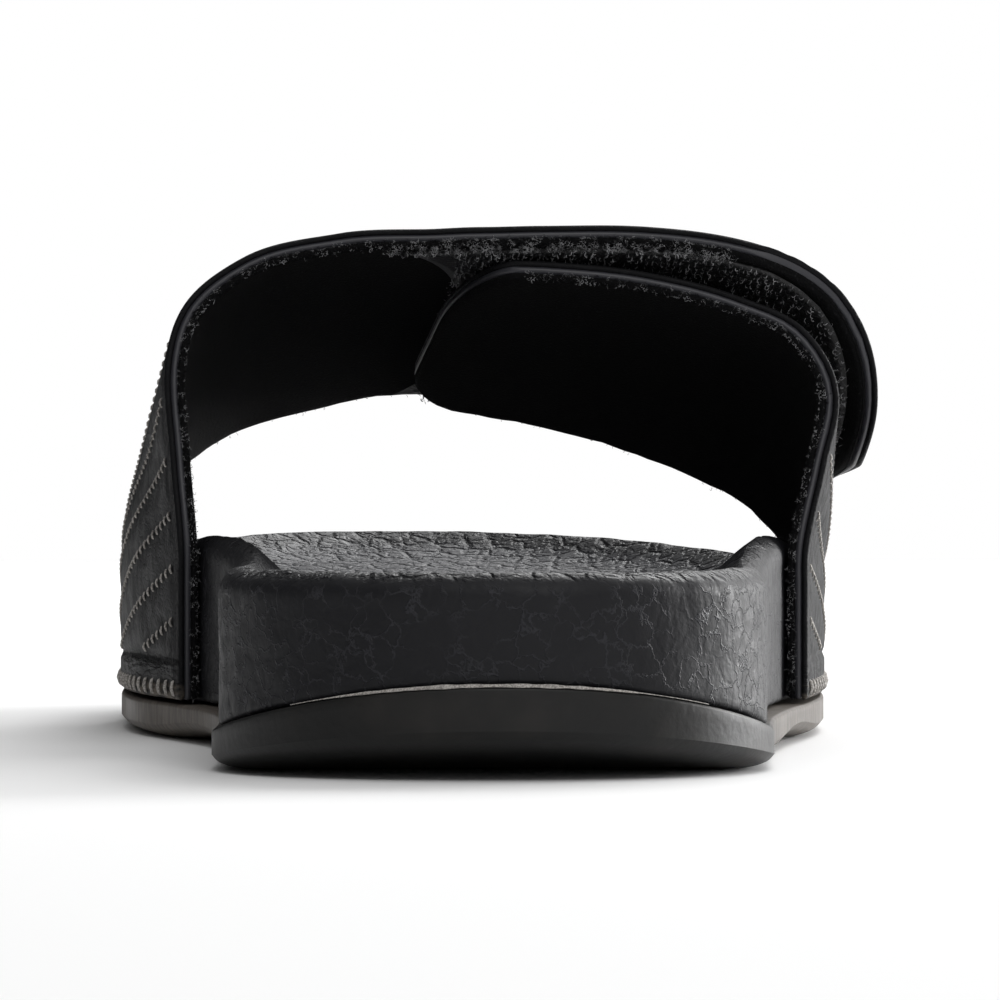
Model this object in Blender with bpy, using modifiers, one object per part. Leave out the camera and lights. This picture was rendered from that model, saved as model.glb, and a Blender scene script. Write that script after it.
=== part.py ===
"""Adjustable slide sandal for the right foot.

A moulded foam footbed stands on a rubber outsole. A strap rises from each side of the sole, and
the two cross over the instep, where a hook patch under the top strap holds the other one.
Metres, +Z up, toes towards +Y, outer side of the foot towards +X.
"""

import math
from collections import namedtuple

import bmesh
import bpy
import numpy as np

# Sizes of the foot that the sandal is made for
LENGTH = 0.286
BALL_WIDTH = 0.1074
INSTEP_HEIGHT = 0.0709
BALL_HEIGHT = 0.0575
FRONT_HEIGHT = 0.0462
HEEL_HEIGHT = 0.0288

# Outsole
BAND_THICKNESS = 0.0056
HEEL_BEVEL_RISE = 0.0050
HEEL_BEVEL_RUN = 0.045
HEEL_BAND_EXTRA = 0.0026
ARCH_START = 0.092
ARCH_END = 0.150
ARCH_LIFT = 0.0012
TOE_SPRING = 0.0080
TOE_SPRING_START = 0.212
TOE_BAND_EXTRA = 0.0015
BAND_ROUND = 0.0006
TREAD_EDGE_LIFT = 0.0015

# Tread grooves under the sole
GROOVE_WIDTH = 0.0022
GROOVE_DEPTH = 0.0012
GROOVE_PITCH = 0.0115
GROOVE_ZIGZAG = 0.0030
GROOVE_LEG = 0.0110
GROOVE_MARGIN = 0.0080

# Footbed
LEDGE_AT_ENDS = 0.0008
RIM_ROUND = 0.0036
DISH_DEPTH = 0.0066
FOOT_ROUND = 0.0008

# Straps and closure
STRAP_THICKNESS = 0.0030
STRAP_REAR = 0.130
STRAP_FRONT = 0.215
STRAP_LEAN = 0.010
STRAP_LIFT_OFF_LEDGE = 0.0004
PATCH_THICKNESS = 0.0009
PATCH_MARGIN = 0.0020
FREE_END_FLARE = 0.0042

# Clearance where two pieces meet
FIT = 0.0003
LAYER_GAP = 0.0005

# How finely the surfaces are divided
RING_POINTS = 80
STRAP_ROWS_TOP = 72
STRAP_ROWS_UNDER = 44
STRAP_COLUMNS = (0.0, 0.03, 0.06, 0.10, 0.16, 0.25, 0.37, 0.50, 0.63, 0.76, 0.88, 0.94, 0.97, 1.0)

HALF_BALL = BALL_WIDTH / 2

# Plan of the outsole. The station is a share of the length, and the edges are shares of half the
# ball width, from the heel's centre line. The ends are rounded by end_rounding.
Plan = namedtuple("Plan", "station medial lateral")
SOLE_PLAN = (
    Plan(0.00, 0.71, 0.765),
    Plan(0.14, 0.71, 0.765),
    Plan(0.23, 0.69, 0.79),
    Plan(0.31, 0.68, 0.83),
    Plan(0.38, 0.70, 0.885),
    Plan(0.46, 0.79, 0.96),
    Plan(0.55, 0.90, 1.03),
    Plan(0.64, 0.94, 1.06),
    Plan(0.72, 0.935, 1.045),
    Plan(0.80, 0.93, 1.01),
    Plan(0.90, 0.93, 0.84),
    Plan(1.00, 0.92, 0.62),
)
HEEL_ROUND_END = 0.147
TOE_ROUND_START = 0.72
HEEL_ROUND_POWER = 2.1
TOE_ROUND_POWER = 2.5

# Rim and bed of the footbed. The station is a share of the length, the rim a share of the heel
# height above the line of the toe spring, and the dish a share of the dish's depth.
Bed = namedtuple("Bed", "station rim dish")
BED_TABLE = (
    Bed(0.00, 1.00, 0.90),
    Bed(0.15, 0.99, 1.00),
    Bed(0.30, 0.98, 1.05),
    Bed(0.45, 1.07, 1.10),
    Bed(0.55, 1.02, 1.05),
    Bed(0.65, 0.94, 0.92),
    Bed(0.75, 0.88, 0.78),
    Bed(0.85, 0.85, 0.66),
    Bed(0.93, 0.79, 0.55),
    Bed(1.00, 0.705, 0.48),
)

# The last over the instep, from the inner side of the foot to the outer. Across is a share of
# half the ball width, and up is a share of that section's own height.
Fold = namedtuple("Fold", "rear_across rear_up ball_across ball_up front_across front_up")
INSTEP_FOLDS = (
    Fold(-0.750, 0.606, -0.849, 0.640, -0.862, 0.671),
    Fold(-0.763, 0.788, -0.815, 0.757, -0.808, 0.792),
    Fold(-0.719, 0.896, -0.735, 0.880, -0.720, 0.887),
    Fold(-0.568, 0.982, -0.583, 0.966, -0.596, 0.967),
    Fold(-0.326, 1.000, -0.354, 1.000, -0.391, 0.994),
    Fold(-0.056, 0.976, -0.093, 0.991, -0.130, 1.000),
    Fold(0.233, 0.973, 0.186, 0.965, 0.149, 0.952),
    Fold(0.512, 0.952, 0.456, 0.920, 0.410, 0.877),
    Fold(0.766, 0.902, 0.700, 0.850, 0.633, 0.781),
    Fold(0.922, 0.845, 0.855, 0.783, 0.805, 0.690),
    Fold(0.995, 0.736, 0.968, 0.683, 0.895, 0.621),
    Fold(0.955, 0.592, 1.012, 0.577, 0.954, 0.574),
)
BALL_LINE = 0.55

# Heights beside the footbed at which the last has a line, as shares of the way up to its rim
BESIDE_WALL = (0.0, 0.4, 0.7, 0.86)


def smooth(stations, values, at):
    """Cubic through a table's rows: each slope comes from the neighbours on both sides."""
    stations = np.asarray(stations, dtype=float)
    values = np.asarray(values, dtype=float)
    slopes = np.gradient(values, stations)
    at = np.clip(at, stations[0], stations[-1])
    low = np.clip(np.searchsorted(stations, at, side="right") - 1, 0, len(stations) - 2)
    step = stations[low + 1] - stations[low]
    t = (at - stations[low]) / step
    start = values[low] * (1 + 2 * t) * (1 - t) ** 2 + slopes[low] * step * t * (1 - t) ** 2
    end = values[low + 1] * t * t * (3 - 2 * t) - slopes[low + 1] * step * t * t * (1 - t)
    return start + end


def ease(low, high, at):
    """0 up to low, 1 from high, and a smooth step between."""
    t = np.clip((at - low) / (high - low), 0, 1)
    return t * t * (3 - 2 * t)


def sole_edges(y):
    """Centre line and half width of the outsole's plan at y, before its ends are rounded."""
    station = [row.station for row in SOLE_PLAN]
    medial = smooth(station, [row.medial for row in SOLE_PLAN], y / LENGTH) * HALF_BALL
    lateral = smooth(station, [row.lateral for row in SOLE_PLAN], y / LENGTH) * HALF_BALL
    return (lateral - medial) / 2, (lateral + medial) / 2


def end_rounding(share):
    """1 along the sole, falling to 0 at heel and toe along a superellipse."""
    heel = np.clip(1 - share / HEEL_ROUND_END, 0, 1) ** HEEL_ROUND_POWER
    toe = np.clip((share - TOE_ROUND_START) / (1 - TOE_ROUND_START), 0, 1) ** TOE_ROUND_POWER
    return (1 - heel) ** (1 / HEEL_ROUND_POWER) * (1 - toe) ** (1 / TOE_ROUND_POWER)


def toe_spring(y):
    """Lift of the sole in front of the ball."""
    run = np.clip((y - TOE_SPRING_START) / (LENGTH - TOE_SPRING_START), 0, 1)
    return TOE_SPRING * run ** 1.8


def heel_bevel(y):
    """1 at the back of the heel, falling to 0 where the bevel meets the floor."""
    return np.clip(1 - y / HEEL_BEVEL_RUN, 0, 1) ** 1.6


def underside(y):
    """Height of the outsole's underside: heel bevel, flat, low arch, flat, toe spring."""
    arch = np.clip((y - ARCH_START) / (ARCH_END - ARCH_START), 0, 1)
    return HEEL_BEVEL_RISE * heel_bevel(y) + ARCH_LIFT * np.sin(math.pi * arch) ** 2 + toe_spring(y)


def ledge(y):
    """Height of the outsole's top, which carries the footbed and shows as the band's top edge."""
    heel = (HEEL_BEVEL_RISE + HEEL_BAND_EXTRA) * heel_bevel(y)
    toe = TOE_BAND_EXTRA * toe_spring(y) / TOE_SPRING
    return BAND_THICKNESS + heel + toe_spring(y) + toe


def rim(y):
    """Height of the footbed's rim."""
    station = [row.station for row in BED_TABLE]
    return smooth(station, [row.rim for row in BED_TABLE], y / LENGTH) * HEEL_HEIGHT + toe_spring(y)


def dish(y):
    """How far the middle of the bed lies below the rim."""
    station = [row.station for row in BED_TABLE]
    return smooth(station, [row.dish for row in BED_TABLE], y / LENGTH) * DISH_DEPTH


def wall_inset(y):
    """How far the footbed's wall stands in from the outsole's edge: room for the straps."""
    beside_straps = ease(0.45 * STRAP_REAR, STRAP_REAR, y) * (1 - ease(STRAP_FRONT, LENGTH - 0.02, y))
    return LEDGE_AT_ENDS + (STRAP_THICKNESS + FIT - LEDGE_AT_ENDS) * beside_straps


def ring(inset_at, share_in=1.0):
    """Plan points of one ring: the outsole's outline moved in, then drawn towards the spine."""
    turn = np.arange(RING_POINTS) * 2 * math.pi / RING_POINTS
    share = (1 - np.cos(turn)) / 2
    side = np.where(turn < math.pi, 1.0, -1.0)
    ends = float(np.min(inset_at(np.array([0.0, LENGTH]))))
    y = ends + share * (LENGTH - 2 * ends)
    centre, half = sole_edges(y)
    x = centre + side * (half - inset_at(y)) * end_rounding(share)
    spine_y = np.clip(y, HEEL_ROUND_END * LENGTH, 0.84 * LENGTH)
    spine_x = sole_edges(spine_y)[0]
    return spine_x + (x - spine_x) * share_in, spine_y + (y - spine_y) * share_in


def loft(name, rings):
    """Closed body through rings of equal count, whose first and last lie on the spine."""
    points = np.concatenate([np.column_stack(ring_points) for ring_points in rings])
    count = RING_POINTS
    faces = []
    for level in range(len(rings) - 1):
        low = level * count
        for k in range(count):
            nxt = (k + 1) % count
            faces.append((low + k, low + nxt, low + count + nxt, low + count + k))
    mesh = bpy.data.meshes.new(name)
    mesh.from_pydata(points.tolist(), [], faces)
    work = bmesh.new()
    work.from_mesh(mesh)
    bmesh.ops.remove_doubles(work, verts=work.verts, dist=0.00002)
    bmesh.ops.dissolve_degenerate(work, edges=work.edges, dist=0.000001)
    bmesh.ops.triangulate(work, faces=work.faces)
    bmesh.ops.recalc_face_normals(work, faces=work.faces)
    work.to_mesh(mesh)
    work.free()
    mesh.shade_smooth()
    mesh.set_sharp_from_angle(angle=math.radians(40))
    return mesh


# Shares of the way from the spine to the edge at which both faces of the joint have rings
JOINT_SHARES = (0.0, 0.35, 0.62, 0.84)


# The underside turns up towards its edge: inset from the edge, and share of the lift there
Margin = namedtuple("Margin", "inset lift")
TREAD_EDGE = (Margin(0.0060, 0.0), Margin(0.0036, 0.10), Margin(0.0018, 0.42), Margin(0.0006, 0.86),
              Margin(0.0, 1.35))


def outsole_mesh():
    """Underside, its turned-up edge, the band and the flat-across top that carries the footbed."""
    rings = []
    for share_in in JOINT_SHARES:
        x, y = ring(lambda y: TREAD_EDGE[0].inset + 0 * y, share_in)
        rings.append((x, y, underside(y)))
    for inset, lift in TREAD_EDGE:
        x, y = ring(lambda y: inset + 0 * y)
        rings.append((x, y, underside(y) + TREAD_EDGE_LIFT * lift))
    for inset, down in ((0.0, 1.0), (0.3, 0.3), (1.0, 0.0)):
        x, y = ring(lambda y: BAND_ROUND * inset + 0 * y)
        rings.append((x, y, ledge(y) - BAND_ROUND * down))
    for share_in in reversed(JOINT_SHARES):
        x, y = ring(lambda y: BAND_ROUND + 0 * y, share_in)
        rings.append((x, y, ledge(y)))
    return loft("outsole", rings)


# Bed of the footbed: share of the way out to the rim, and share of the dish's depth there
BED_FALL = ((0.94, 0.24), (0.86, 0.60), (0.74, 0.87), (0.52, 0.97), (0.25, 1.0), (0.0, 1.0))


def footbed_mesh():
    """Underside on the outsole, upright wall, round rim and dished bed."""
    rings = []
    for share_in in JOINT_SHARES:
        x, y = ring(lambda y: wall_inset(y) + FOOT_ROUND, share_in)
        rings.append((x, y, ledge(y) + FIT))
    x, y = ring(lambda y: wall_inset(y) + FOOT_ROUND)
    rings.append((x, y, ledge(y) + FIT))
    x, y = ring(wall_inset)
    rings.append((x, y, ledge(y) + FIT + FOOT_ROUND))
    rings.append((x, y, (ledge(y) + rim(y)) / 2))
    for angle in (0, 30, 60, 90):
        turn = math.radians(angle)
        x, y = ring(lambda y: wall_inset(y) + RIM_ROUND * (1 - math.cos(turn)))
        rings.append((x, y, rim(y) - RIM_ROUND * (1 - math.sin(turn))))
    for share_in, fall in BED_FALL:
        x, y = ring(lambda y: wall_inset(y) + RIM_ROUND, share_in)
        rings.append((x, y, rim(y) - dish(y) * fall))
    return loft("footbed", rings)


def groove_cutter():
    """Zigzag bars across the tread, each as deep as a groove below the sole's own line."""
    work = bmesh.new()
    stations = []
    for start, end in ((HEEL_BEVEL_RUN, ARCH_START), (ARCH_END, 0.9 * LENGTH)):
        count = int((end - start) // GROOVE_PITCH)
        first = (start + end - (count - 1) * GROOVE_PITCH) / 2
        stations += [first + k * GROOVE_PITCH for k in range(count)]
    for station in stations:
        centre, half = sole_edges(np.array([station]))
        half_run = float(half[0] * end_rounding(station / LENGTH)) - GROOVE_MARGIN
        legs = max(2, int(round(2 * half_run / GROOVE_LEG)))
        previous = None
        for k in range(legs + 1):
            x = float(centre[0]) - half_run + 2 * half_run * k / legs
            y = station + GROOVE_ZIGZAG / 2 * (-1) ** k
            section = []
            for side, top in ((-1, 0), (1, 0), (1, 1), (-1, 1)):
                at = y + side * GROOVE_WIDTH / 2
                floor = float(underside(np.array([at]))[0])
                z = floor + GROOVE_DEPTH if top else floor - 2 * GROOVE_DEPTH
                section.append(work.verts.new((x, at, z)))
            if previous:
                for n in range(4):
                    m = (n + 1) % 4
                    work.faces.new((previous[n], previous[m], section[m], section[n]))
            else:
                work.faces.new(section)
            previous = section
        work.faces.new(previous[::-1])
    bmesh.ops.recalc_face_normals(work, faces=work.faces)
    mesh = bpy.data.meshes.new("tread_grooves")
    work.to_mesh(mesh)
    work.free()
    return mesh


def last_lines(along):
    """Lines of the last from the straps' rear edge (0) to their front edge (1), one per fold.

    Beside the footbed the lines keep to its wall, and over the instep each runs through its fold's
    rear, ball and front points along a parabola.
    """
    lines = []
    lean = np.array([0.0] + [max(0.0, fold.rear_up - 0.4) / 0.6 for fold in INSTEP_FOLDS])

    def beside(side, up):
        y = STRAP_REAR + (STRAP_FRONT - STRAP_REAR) * along
        centre, half = sole_edges(y)
        low = ledge(y) + FIT + STRAP_LIFT_OFF_LEDGE
        return np.stack([centre + side * (half - STRAP_THICKNESS), y, low + (rim(y) - low) * up], -1)

    lines += [beside(-1, up) for up in BESIDE_WALL]
    for fold, share in zip(INSTEP_FOLDS, lean[1:]):
        rear_y = STRAP_REAR + STRAP_LEAN * share
        ends = np.array([0.0, BALL_LINE, 1.0])
        across = np.polyfit(ends, [fold.rear_across, fold.ball_across, fold.front_across], 2)
        up = [fold.rear_up * INSTEP_HEIGHT, fold.ball_up * BALL_HEIGHT, fold.front_up * FRONT_HEIGHT]
        x = np.polyval(across, along) * HALF_BALL
        y = rear_y + (STRAP_FRONT - rear_y) * along
        lines.append(np.stack([x, y, np.polyval(np.polyfit(ends, up, 2), along)], -1))
    lines += [beside(1, up) for up in reversed(BESIDE_WALL)]
    return np.array(lines)


def last_knots():
    """Where each line lies round the foot, as a share of the way from the inner to the outer sole."""
    middle = last_lines(np.array([0.0, BALL_LINE]))
    steps = np.linalg.norm(np.diff(middle, axis=0), axis=2).mean(axis=1)
    return np.concatenate([[0.0], np.cumsum(steps) / steps.sum()])


def last(around, along):
    """Point of the last: a cubic across its lines, at a share round the foot and one along it."""
    knots = last_knots()
    lines = last_lines(along)
    slopes = np.gradient(lines, knots, axis=0)
    around = np.clip(around, 0, 1)
    low = np.clip(np.searchsorted(knots, around, side="right") - 1, 0, len(knots) - 2)
    row, column = np.indices(around.shape)
    step = (knots[low + 1] - knots[low])[..., None]
    t = (around - knots[low])[..., None] / step
    start = lines[low, row, column] * (1 + 2 * t) + slopes[low, row, column] * step * t
    end = lines[low + 1, row, column] * (3 - 2 * t) - slopes[low + 1, row, column] * step * (1 - t)
    return start * (1 - t) ** 2 + end * t * t


def off_surface(surface, around, along, lift):
    """Point at a height off a surface, along its outward normal."""
    small = 0.003
    round_way = surface(around + small, along) - surface(around - small, along)
    long_way = surface(around, along + small) - surface(around, along - small)
    normal = np.cross(round_way, long_way)
    normal /= np.linalg.norm(normal, axis=2, keepdims=True)
    return surface(around, along) + normal * np.expand_dims(lift, -1)


# Where the straps lie on the last: shares round the foot, and shares along it
RISE_START = 0.30
RISE_END = 0.50
TOP_END = 0.822
TOP_END_SLANT = 0.02
UNDER_END = 0.483
UNDER_END_SLANT = -0.02
UNDER_REAR = 0.015
UNDER_FRONT = 0.895
TOP_FRONT_AT_END = 0.90
PATCH_START = 0.585
FLARE_BEGIN = 0.50
FLARE_FULL = 0.76
FLARE_FALL = 0.76
FLARE_GONE = 0.88
FLARE_SHARE = 0.35
TOP_NARROW_BEGIN = 0.5
TOP_NARROW_FULL = 0.8
UNDER_NARROW_FULL = 0.75
UNDER_NARROW_GONE = 0.95


def stack_lift(around, along):
    """Height of the top strap's underside off the last: it climbs over the other strap's end and
    the patch, and its rear corner stands off further out."""
    climb = (STRAP_THICKNESS + 2 * LAYER_GAP + PATCH_THICKNESS) * ease(RISE_START, RISE_END, around)
    out_and_back = ease(FLARE_BEGIN, FLARE_FULL, around) * (1 - ease(FLARE_FALL, FLARE_GONE, around))
    return climb + FREE_END_FLARE * out_and_back * (1 - ease(0.0, FLARE_SHARE, along))


# The rounded ends' corners at the rear and front edges: how far each falls back, over which width
Corners = namedtuple("Corners", "rear_fall rear_reach front_fall front_reach")
TOP_REAR_FALL = 0.024
TOP_REAR_REACH = 0.032
TOP_FRONT_FALL = 0.014
TOP_FRONT_REACH = 0.020
UNDER_REAR_FALL = 0.008
UNDER_REAR_REACH = 0.030
UNDER_FRONT_FALL = 0.009
UNDER_FRONT_REACH = 0.018
TOP_CORNERS = Corners(TOP_REAR_FALL, TOP_REAR_REACH, TOP_FRONT_FALL, TOP_FRONT_REACH)
UNDER_CORNERS = Corners(UNDER_REAR_FALL, UNDER_REAR_REACH, UNDER_FRONT_FALL, UNDER_FRONT_REACH)


def corner(across, corners):
    """How far a strap's end falls back at a share of its width: a quarter ellipse at each side."""
    rear = np.clip(1 - across * strap_width() / corners.rear_reach, 0, 1)
    front = np.clip(1 - (1 - across) * strap_width() / corners.front_reach, 0, 1)
    at_rear = corners.rear_fall * (1 - np.sqrt(1 - rear ** 2))
    return at_rear + corners.front_fall * (1 - np.sqrt(1 - front ** 2))


def strap_run():
    """Length of the way round the foot, at the ball line."""
    middle = last_lines(np.array([BALL_LINE]))[:, 0]
    return float(np.linalg.norm(np.diff(middle, axis=0), axis=1).sum())


def strap_width():
    return STRAP_FRONT - STRAP_REAR - STRAP_LEAN


def grid_mesh(name, points):
    """Open surface over a grid of points, rows round the foot and columns along it."""
    rows, columns = points.shape[:2]
    mesh = bpy.data.meshes.new(name)
    faces = []
    for i in range(rows - 1):
        for j in range(columns - 1):
            k = i * columns + j
            faces.append((k, k + columns, k + columns + 1, k + 1))
    mesh.from_pydata(points.reshape(-1, 3).tolist(), [], faces)
    mesh.shade_smooth()
    return mesh


def top_face(around, along):
    """Outer face of the top strap."""
    return off_surface(last, around, along, stack_lift(around, along) + STRAP_THICKNESS)


def under_face(around, along):
    """Outer face of the under strap."""
    return off_surface(last, around, along, np.full(np.shape(around), STRAP_THICKNESS))


def top_strap_shares():
    """Shares round and along the foot, from the inner side of the sole to the rounded free end."""
    across = np.array(STRAP_COLUMNS)[None, :]
    end = TOP_END - TOP_END_SLANT * across
    end = end - corner(across, TOP_CORNERS) / strap_run()
    way = np.linspace(0, 1, STRAP_ROWS_TOP)
    way = np.append(way, 1 - PATCH_MARGIN / strap_run())
    around = end * np.sort(way)[:, None]
    narrowing = (1 - TOP_FRONT_AT_END) * ease(TOP_NARROW_BEGIN, TOP_NARROW_FULL, around)
    along = across * (1 - narrowing)
    return around, along


def top_strap_mesh():
    return grid_mesh("strap_top", top_face(*top_strap_shares()))


def patch_mesh():
    """The patch lies on the top strap's underside, a margin in from the strap's edges."""
    first = int(round(PATCH_START * STRAP_ROWS_TOP))
    around, along = [shares[first:-1, 2:-2] for shares in top_strap_shares()]
    return grid_mesh("hook_patch", off_surface(top_face, around, along, -STRAP_THICKNESS - LAYER_GAP))


def under_strap_mesh():
    across = np.array(STRAP_COLUMNS)[None, :]
    end = UNDER_END + UNDER_END_SLANT * across
    end = end + corner(across, UNDER_CORNERS) / strap_run()
    way = np.linspace(0, 1, STRAP_ROWS_UNDER)[:, None]
    around = end + (1 - end) * way
    narrowing = 1 - ease(UNDER_NARROW_FULL, UNDER_NARROW_GONE, around)
    rear = UNDER_REAR * narrowing
    front = 1 - (1 - UNDER_FRONT) * narrowing
    along = rear + (front - rear) * across
    return grid_mesh("strap_under", under_face(around, along))


def material(name, colour, roughness, metallic=0.0):
    made = bpy.data.materials.new(name)
    made.use_nodes = True
    shader = made.node_tree.nodes["Principled BSDF"]
    shader.inputs["Base Color"].default_value = (*colour, 1.0)
    shader.inputs["Roughness"].default_value = roughness
    shader.inputs["Metallic"].default_value = metallic
    made.diffuse_color = (*colour, 1.0)
    return made


def add_part(name, mesh, colour, roughness, collection, root):
    """Put a mesh into the collection under the root empty, with its own material."""
    mesh.materials.append(material(name + "_finish", colour, roughness))
    piece = bpy.data.objects.new(name, mesh)
    collection.objects.link(piece)
    piece.parent = root
    return piece


def give_wall(piece, thickness):
    """Turn an open outer face into a wall of even thickness, built inwards."""
    wall = piece.modifiers.new("wall", "SOLIDIFY")
    wall.thickness = thickness
    wall.offset = -1
    wall.use_quality_normals = True


def box_of(pieces):
    """Lowest and highest corner of the pieces' meshes."""
    corners = [np.array([v.co for v in piece.data.vertices]) for piece in pieces]
    points = np.concatenate(corners)
    return points.min(axis=0), points.max(axis=0)


def build():
    for old in list(bpy.data.objects):
        bpy.data.objects.remove(old, do_unlink=True)
    parts = bpy.data.collections.new("slide_sandal")
    cutters = bpy.data.collections.new("cutters")
    bpy.context.scene.collection.children.link(parts)
    bpy.context.scene.collection.children.link(cutters)
    root = bpy.data.objects.new("sandal_root", None)
    parts.objects.link(root)

    outsole = add_part("outsole", outsole_mesh(), (0.012, 0.012, 0.013), 0.55, parts, root)
    footbed = add_part("footbed", footbed_mesh(), (0.020, 0.020, 0.024), 0.50, parts, root)
    strap_under = add_part("strap_under", under_strap_mesh(), (0.010, 0.010, 0.012), 0.45, parts, root)
    strap_top = add_part("strap_top", top_strap_mesh(), (0.010, 0.010, 0.012), 0.45, parts, root)
    hook_patch = add_part("hook_patch", patch_mesh(), (0.006, 0.006, 0.006), 0.90, parts, root)
    give_wall(strap_under, STRAP_THICKNESS)
    give_wall(strap_top, STRAP_THICKNESS)
    give_wall(hook_patch, PATCH_THICKNESS)

    grooves = bpy.data.objects.new("tread_grooves", groove_cutter())
    cutters.objects.link(grooves)
    grooves.parent = root
    grooves.hide_render = True
    grooves.display_type = "WIRE"
    cut = outsole.modifiers.new("tread", "BOOLEAN")
    cut.operation = "DIFFERENCE"
    cut.solver = "EXACT"
    cut.object = grooves

    # The sandal stands on the floor, with the middle of its box over the origin
    low, high = box_of([outsole, footbed, strap_under, strap_top, hook_patch])
    root.location = (-(low[0] + high[0]) / 2, -(low[1] + high[1]) / 2, -low[2])


build()
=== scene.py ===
"""Slide sandal for the right foot, seen from behind on a pale floor."""

import math
from collections import namedtuple

import bmesh
import bpy
import numpy as np
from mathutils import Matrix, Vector


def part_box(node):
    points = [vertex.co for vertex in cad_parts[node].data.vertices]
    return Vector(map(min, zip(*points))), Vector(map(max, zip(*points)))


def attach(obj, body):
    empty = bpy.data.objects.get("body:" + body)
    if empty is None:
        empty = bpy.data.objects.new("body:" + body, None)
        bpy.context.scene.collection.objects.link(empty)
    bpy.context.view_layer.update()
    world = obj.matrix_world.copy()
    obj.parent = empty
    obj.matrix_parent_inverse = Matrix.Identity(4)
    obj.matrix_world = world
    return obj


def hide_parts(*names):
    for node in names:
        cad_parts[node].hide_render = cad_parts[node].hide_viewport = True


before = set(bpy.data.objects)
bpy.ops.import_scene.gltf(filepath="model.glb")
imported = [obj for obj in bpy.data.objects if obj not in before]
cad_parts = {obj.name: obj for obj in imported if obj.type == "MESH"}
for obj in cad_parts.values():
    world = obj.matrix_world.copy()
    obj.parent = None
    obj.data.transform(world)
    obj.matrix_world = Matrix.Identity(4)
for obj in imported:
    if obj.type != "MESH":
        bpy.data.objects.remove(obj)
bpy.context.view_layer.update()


# ---------------------------------------------------------------- outsole
# One moulded rubber sole, 286 mm long and 107 mm wide at the ball. A band 5.6 mm high runs round it,
# the heel is bevelled up by 5 mm and the toe springs up by 8 mm. The black rubber is satin, and pale
# dust lies on its edges beside the ball.
LENGTH = 0.286
HALF_BALL = 0.1074 / 2
BAND_THICKNESS = 0.0056
HEEL_BEVEL_RISE = 0.0050
HEEL_BEVEL_RUN = 0.045
HEEL_BEVEL_POWER = 1.6
HEEL_BAND_EXTRA = 0.0026
ARCH_START = 0.092
ARCH_END = 0.150
ARCH_LIFT = 0.0012
TOE_SPRING = 0.0080
TOE_SPRING_START = 0.212
TOE_SPRING_POWER = 1.8
TOE_BAND_EXTRA = 0.0015
BAND_ROUND = 0.0006
TREAD_EDGE_LIFT = 0.0015
RING_POINTS = 640

Plan = namedtuple("Plan", "station medial lateral")
SOLE_PLAN = (
    Plan(0.00, 0.71, 0.765),
    Plan(0.14, 0.71, 0.765),
    Plan(0.23, 0.69, 0.79),
    Plan(0.31, 0.68, 0.83),
    Plan(0.38, 0.70, 0.885),
    Plan(0.46, 0.79, 0.96),
    Plan(0.55, 0.90, 1.03),
    Plan(0.64, 0.94, 1.06),
    Plan(0.72, 0.935, 1.045),
    Plan(0.80, 0.93, 1.01),
    Plan(0.90, 0.93, 0.84),
    Plan(1.00, 0.92, 0.62),
)
HEEL_ROUND_END = 0.147
TOE_ROUND_START = 0.72
HEEL_ROUND_POWER = 2.1
TOE_ROUND_POWER = 2.5
SPINE_END = 0.84


def smooth(stations, values, at):
    """Cubic through a table's rows: each slope comes from the neighbours on both sides."""
    stations = np.asarray(stations, dtype=float)
    values = np.asarray(values, dtype=float)
    slopes = np.gradient(values, stations)
    at = np.clip(at, stations[0], stations[-1])
    low = np.clip(np.searchsorted(stations, at, side="right") - 1, 0, len(stations) - 2)
    step = stations[low + 1] - stations[low]
    t = (at - stations[low]) / step
    start = values[low] * (1 + 2 * t) * (1 - t) ** 2 + slopes[low] * step * t * (1 - t) ** 2
    end = values[low + 1] * t * t * (3 - 2 * t) - slopes[low + 1] * step * t * t * (1 - t)
    return start + end


def ease(low, high, at):
    """0 up to low, 1 from high, and a smooth step between."""
    t = np.clip((at - low) / (high - low), 0, 1)
    return t * t * (3 - 2 * t)


def sole_edges(y):
    """Centre line and half width of the sole's plan at y, before its ends are rounded."""
    station = [row.station for row in SOLE_PLAN]
    medial = smooth(station, [row.medial for row in SOLE_PLAN], y / LENGTH) * HALF_BALL
    lateral = smooth(station, [row.lateral for row in SOLE_PLAN], y / LENGTH) * HALF_BALL
    return (lateral - medial) / 2, (lateral + medial) / 2


def end_rounding(share):
    """1 along the sole, falling to 0 at heel and toe along a superellipse."""
    heel = np.clip(1 - share / HEEL_ROUND_END, 0, 1) ** HEEL_ROUND_POWER
    toe = np.clip((share - TOE_ROUND_START) / (1 - TOE_ROUND_START), 0, 1) ** TOE_ROUND_POWER
    return (1 - heel) ** (1 / HEEL_ROUND_POWER) * (1 - toe) ** (1 / TOE_ROUND_POWER)


def toe_spring(y):
    """Lift in front of the ball: a power curve up to the toe."""
    share = np.clip((y - TOE_SPRING_START) / (LENGTH - TOE_SPRING_START), 0, 1)
    return TOE_SPRING * share ** TOE_SPRING_POWER


def heel_bevel(y):
    """1 at the back of the heel, falling to 0 where the bevel meets the floor."""
    return np.clip(1 - y / HEEL_BEVEL_RUN, 0, 1) ** HEEL_BEVEL_POWER


def underside(y):
    """Height of the underside: heel bevel, flat, low arch, flat, toe spring."""
    arch = np.clip((y - ARCH_START) / (ARCH_END - ARCH_START), 0, 1)
    return HEEL_BEVEL_RISE * heel_bevel(y) + ARCH_LIFT * np.sin(math.pi * arch) ** 2 + toe_spring(y)


def ledge(y):
    """Height of the band's top edge, on which the footbed lies."""
    toe = TOE_BAND_EXTRA * toe_spring(y) / TOE_SPRING
    return BAND_THICKNESS + (HEEL_BEVEL_RISE + HEEL_BAND_EXTRA) * heel_bevel(y) + toe_spring(y) + toe


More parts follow.
